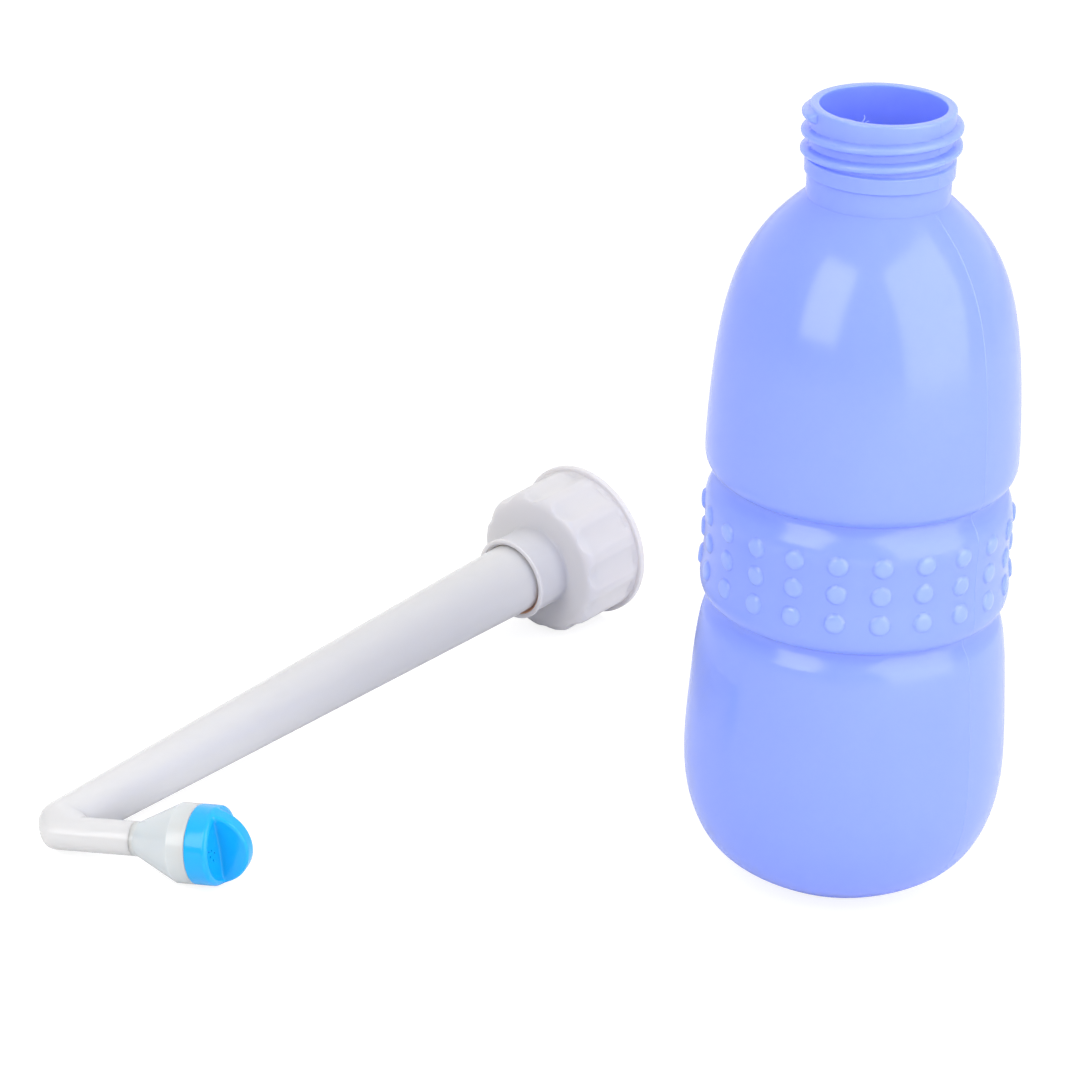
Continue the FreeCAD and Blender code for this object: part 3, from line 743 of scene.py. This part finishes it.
# ---- materials --------------------------------------------------------------------------------
def plastic(name, colour, shade, roughness, subsurface=0.0, radius=(0.004, 0.004, 0.004),
            grain=0.02, grain_size=0.0006, specular=0.5, tint_and_painted_shade=None):
    """A moulded plastic: colour drifts towards shade in soft clouds, under a fine uneven skin.

    Where the piece's points carry a value, the colour turns towards the tint: a paler blue on the
    bottle's dots, and painted warm shade in the cap's gap.
    """
    material = bpy.data.materials.new(name)
    material.use_nodes = True
    nodes, links = material.node_tree.nodes, material.node_tree.links
    shader = nodes["Principled BSDF"]
    place = nodes.new("ShaderNodeTexCoord")
    clouds = nodes.new("ShaderNodeTexNoise")
    clouds.inputs["Scale"].default_value = CLOUD_SCALE
    clouds.inputs["Detail"].default_value = 3.0
    links.new(place.outputs["Object"], clouds.inputs["Vector"])
    ramp = nodes.new("ShaderNodeValToRGB")
    ramp.color_ramp.elements[0].position = 0.3
    ramp.color_ramp.elements[0].color = (*colour, 1)
    ramp.color_ramp.elements[1].position = 0.75
    ramp.color_ramp.elements[1].color = (*shade, 1)
    links.new(clouds.outputs["Fac"], ramp.inputs["Fac"])
    finished = ramp.outputs["Color"]
    # the points' value mixes in painted warm shade on the cap and a paler blue on the bottle's dots
    if tint_and_painted_shade:
        painted = nodes.new("ShaderNodeAttribute")
        painted.attribute_name = "tint_and_painted_shade"
        mix = nodes.new("ShaderNodeMix")
        mix.data_type = "RGBA"
        links.new(painted.outputs["Fac"], mix.inputs["Factor"])
        links.new(finished, mix.inputs["A"])
        mix.inputs["B"].default_value = (*tint_and_painted_shade, 1)
        finished = mix.outputs["Result"]
    links.new(finished, shader.inputs["Base Color"])
    skin_noise = nodes.new("ShaderNodeTexNoise")
    skin_noise.inputs["Scale"].default_value = 1 / grain_size
    skin_noise.inputs["Detail"].default_value = 2.0
    links.new(place.outputs["Object"], skin_noise.inputs["Vector"])
    bump = nodes.new("ShaderNodeBump")
    bump.inputs["Strength"].default_value = grain
    bump.inputs["Distance"].default_value = BUMP_HEIGHT
    links.new(skin_noise.outputs["Fac"], bump.inputs["Height"])
    links.new(bump.outputs["Normal"], shader.inputs["Normal"])
    gloss = nodes.new("ShaderNodeMapRange")
    gloss.inputs["To Min"].default_value = roughness * ROUGHNESS_SPREAD[0]
    gloss.inputs["To Max"].default_value = roughness * ROUGHNESS_SPREAD[1]
    links.new(clouds.outputs["Fac"], gloss.inputs["Value"])
    links.new(gloss.outputs["Result"], shader.inputs["Roughness"])
    shader.inputs["Subsurface Weight"].default_value = subsurface
    shader.inputs["Subsurface Radius"].default_value = radius
    shader.inputs["Subsurface Scale"].default_value = 1.0
    shader.inputs["Specular IOR Level"].default_value = specular
    return material


bottle_blue = plastic("bottle_polyethylene", (0.218, 0.302, 1.0), (0.206, 0.288, 1.0), 0.17,
                      subsurface=0.5, radius=(0.003, 0.004, 0.008), grain=0.04,
                      tint_and_painted_shade=(0.245, 0.335, 1.0))
# its second colour is painted warm shade, for the gap between the collar and the tube
cap_white = plastic("cap_white", (0.59, 0.58, 0.60), (0.58, 0.57, 0.59), 0.3,
                    subsurface=0.5, radius=(0.004, 0.0035, 0.003), tint_and_painted_shade=(0.60, 0.33, 0.20))
spout_white = plastic("spout_white", (0.595, 0.585, 0.59), (0.585, 0.575, 0.58), 0.16,
                      subsurface=0.7, radius=(0.006, 0.0055, 0.005), grain=0.01)
head_milk = plastic("head_milk", (0.53, 0.565, 0.59), (0.52, 0.555, 0.58), 0.14,
                    subsurface=0.8, radius=(0.004, 0.005, 0.006), grain=0.01)
knob_blue = plastic("knob_blue", (0.005, 0.36, 0.77), (0.004, 0.34, 0.75), 0.14,
                    subsurface=0.2, radius=(0.0005, 0.001, 0.002), grain=0.01, specular=0.36)
valve_white = plastic("valve_white", (0.80, 0.80, 0.80), (0.77, 0.77, 0.77), 0.45)
rubber = plastic("seal_silicone", (0.62, 0.32, 0.17), (0.57, 0.28, 0.15), 0.5, grain=0.08)


# ---- pieces -----------------------------------------------------------------------------------
for make, body, node, slot, material in [
        (make_bottle, "bottle", "bottle", "bottle_plastic", bottle_blue),
        (make_cap, "cap", "screw_cap", "cap_plastic", cap_white),
        (make_spout, "spout", "spout_tube", "spout_plastic", spout_white),
        (make_head, "spout", "spray_head", "head_plastic", head_milk),
        (make_knob, "knob", "spray_knob", "knob_plastic", knob_blue)]:
    piece = make()
    piece.data.materials.append(material)
    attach(piece, body)
    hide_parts(node)

whiskers = make_whiskers()
whiskers.data.materials.append(bottle_blue)
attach(whiskers, "bottle")

for node, material in [("cap_gasket", rubber), ("tube_o_ring", rubber), ("valve_seal", rubber),
                       ("valve_plate", valve_white)]:
    for place in frame["nodes"][node].material_slots:
        place.material = material


# ---- floor, light and camera --------------------------------------------------------------------
def two_faced(tree, seen, given, out_name):
    """Shows the camera one shader and lights the object with another, for a pure white ground."""
    nodes, links = tree.nodes, tree.links
    path = nodes.new("ShaderNodeLightPath")
    mix = nodes.new("ShaderNodeMixShader")
    links.new(path.outputs["Is Camera Ray"], mix.inputs["Fac"])
    links.new(given.outputs[0], mix.inputs[1])
    links.new(seen.outputs[0], mix.inputs[2])
    links.new(mix.outputs["Shader"], nodes[out_name].inputs["Surface"])


def floor():
    half = FLOOR_HALF
    mesh = bpy.data.meshes.new("floor")
    mesh.from_pydata([(-half, -half, 0), (half, -half, 0), (half, half, 0), (-half, half, 0)], [],
                     [(0, 1, 2, 3)])
    obj = bpy.data.objects.new("floor", mesh)
    bpy.context.scene.collection.objects.link(obj)
    obj.location = (0, 0, -FLOOR_DOWN)
    material = bpy.data.materials.new("floor_paper")
    material.use_nodes = True
    tree = material.node_tree
    bounce = tree.nodes["Principled BSDF"]
    bounce.inputs["Base Color"].default_value = (FLOOR_BOUNCE, FLOOR_BOUNCE, FLOOR_BOUNCE, 1)
    bounce.inputs["Roughness"].default_value = 0.9
    bounce.inputs["Specular IOR Level"].default_value = 0.1
    bright = tree.nodes.new("ShaderNodeBsdfPrincipled")
    bright.inputs["Base Color"].default_value = (FLOOR_SEEN, FLOOR_SEEN, FLOOR_SEEN, 1)
    bright.inputs["Roughness"].default_value = 0.9
    bright.inputs["Specular IOR Level"].default_value = 0.0
    bright.inputs["Emission Color"].default_value = (1, 1, 1, 1)
    bright.inputs["Emission Strength"].default_value = FLOOR_GLOW
    two_faced(tree, bright, bounce, "Material Output")
    mesh.materials.append(material)


def softbox(name, azimuth, elevation, distance, width, height, radiance):
    """A rectangular white light facing LIT_POINT, from a bearing in degrees from -Y towards +X."""
    a, e = math.radians(azimuth), math.radians(elevation)
    way = Vector((math.sin(a) * math.cos(e), -math.cos(a) * math.cos(e), math.sin(e)))
    data = bpy.data.lights.new(name, "AREA")
    data.shape = "RECTANGLE"
    data.size = width
    data.size_y = height
    data.energy = radiance * math.pi * width * height
    obj = bpy.data.objects.new(name, data)
    bpy.context.scene.collection.objects.link(obj)
    obj.location = Vector(LIT_POINT) + way * distance
    obj.rotation_euler = (-way).to_track_quat("-Z", "Y").to_euler()


def camera():
    data = bpy.data.cameras.new("camera")
    data.sensor_width = SENSOR
    data.lens = SENSOR * FOCAL_PIXELS / IMAGE_PIXELS
    data.clip_start = 0.05
    data.clip_end = 50
    obj = bpy.data.objects.new("camera", data)
    bpy.context.scene.collection.objects.link(obj)
    yaw, pitch, roll = (math.radians(a) for a in CAMERA_TURNS)
    ahead = Vector((math.sin(yaw) * math.cos(pitch), math.cos(yaw) * math.cos(pitch),
                    -math.sin(pitch)))
    level = Vector((math.cos(yaw), -math.sin(yaw), 0))
    above = level.cross(ahead)
    right = level * math.cos(roll) + above * math.sin(roll)
    up = above * math.cos(roll) - level * math.sin(roll)
    x, y, z = CAMERA_PLACE
    obj.matrix_world = Matrix((
        (right.x, up.x, -ahead.x, x), (right.y, up.y, -ahead.y, y), (right.z, up.z, -ahead.z, z),
        (0, 0, 0, 1)))
    bpy.context.scene.camera = obj


def studio_world():
    """A white sky, brighter behind the bottle and overhead than in front."""
    world = bpy.data.worlds.new("studio")
    world.use_nodes = True
    nodes, links = world.node_tree.nodes, world.node_tree.links
    given = nodes["Background"]
    given.inputs["Color"].default_value = (1, 1, 1, 1)
    place = nodes.new("ShaderNodeTexCoord")
    parts = nodes.new("ShaderNodeSeparateXYZ")
    links.new(place.outputs["Generated"], parts.inputs["Vector"])
    depth = nodes.new("ShaderNodeMapRange")
    depth.inputs["From Min"].default_value = -0.3
    depth.inputs["From Max"].default_value = 0.9
    depth.inputs["To Min"].default_value = AMBIENT_FRONT
    depth.inputs["To Max"].default_value = AMBIENT_BACK
    links.new(parts.outputs["Y"], depth.inputs["Value"])
    height = nodes.new("ShaderNodeMapRange")
    height.inputs["From Min"].default_value = 0.55
    height.inputs["From Max"].default_value = 1.0
    height.inputs["To Min"].default_value = 0.0
    height.inputs["To Max"].default_value = AMBIENT_TOP
    links.new(parts.outputs["Z"], height.inputs["Value"])
    total = nodes.new("ShaderNodeMath")
    total.operation = "ADD"
    links.new(depth.outputs["Result"], total.inputs[0])
    links.new(height.outputs["Result"], total.inputs[1])
    links.new(total.outputs["Value"], given.inputs["Strength"])
    seen = nodes.new("ShaderNodeBackground")
    seen.inputs["Color"].default_value = (1, 1, 1, 1)
    seen.inputs["Strength"].default_value = 1.0
    two_faced(world.node_tree, seen, given, "World Output")
    bpy.context.scene.world = world


floor()
softbox("softbox_right", azimuth=55, elevation=28, distance=1.2, width=1.25, height=1.5,
        radiance=2.55)
softbox("softbox_left", azimuth=-38, elevation=32, distance=1.2, width=0.68, height=1.0,
        radiance=3.6)
studio_world()
camera()
bpy.context.scene.view_settings.view_transform = "Standard"
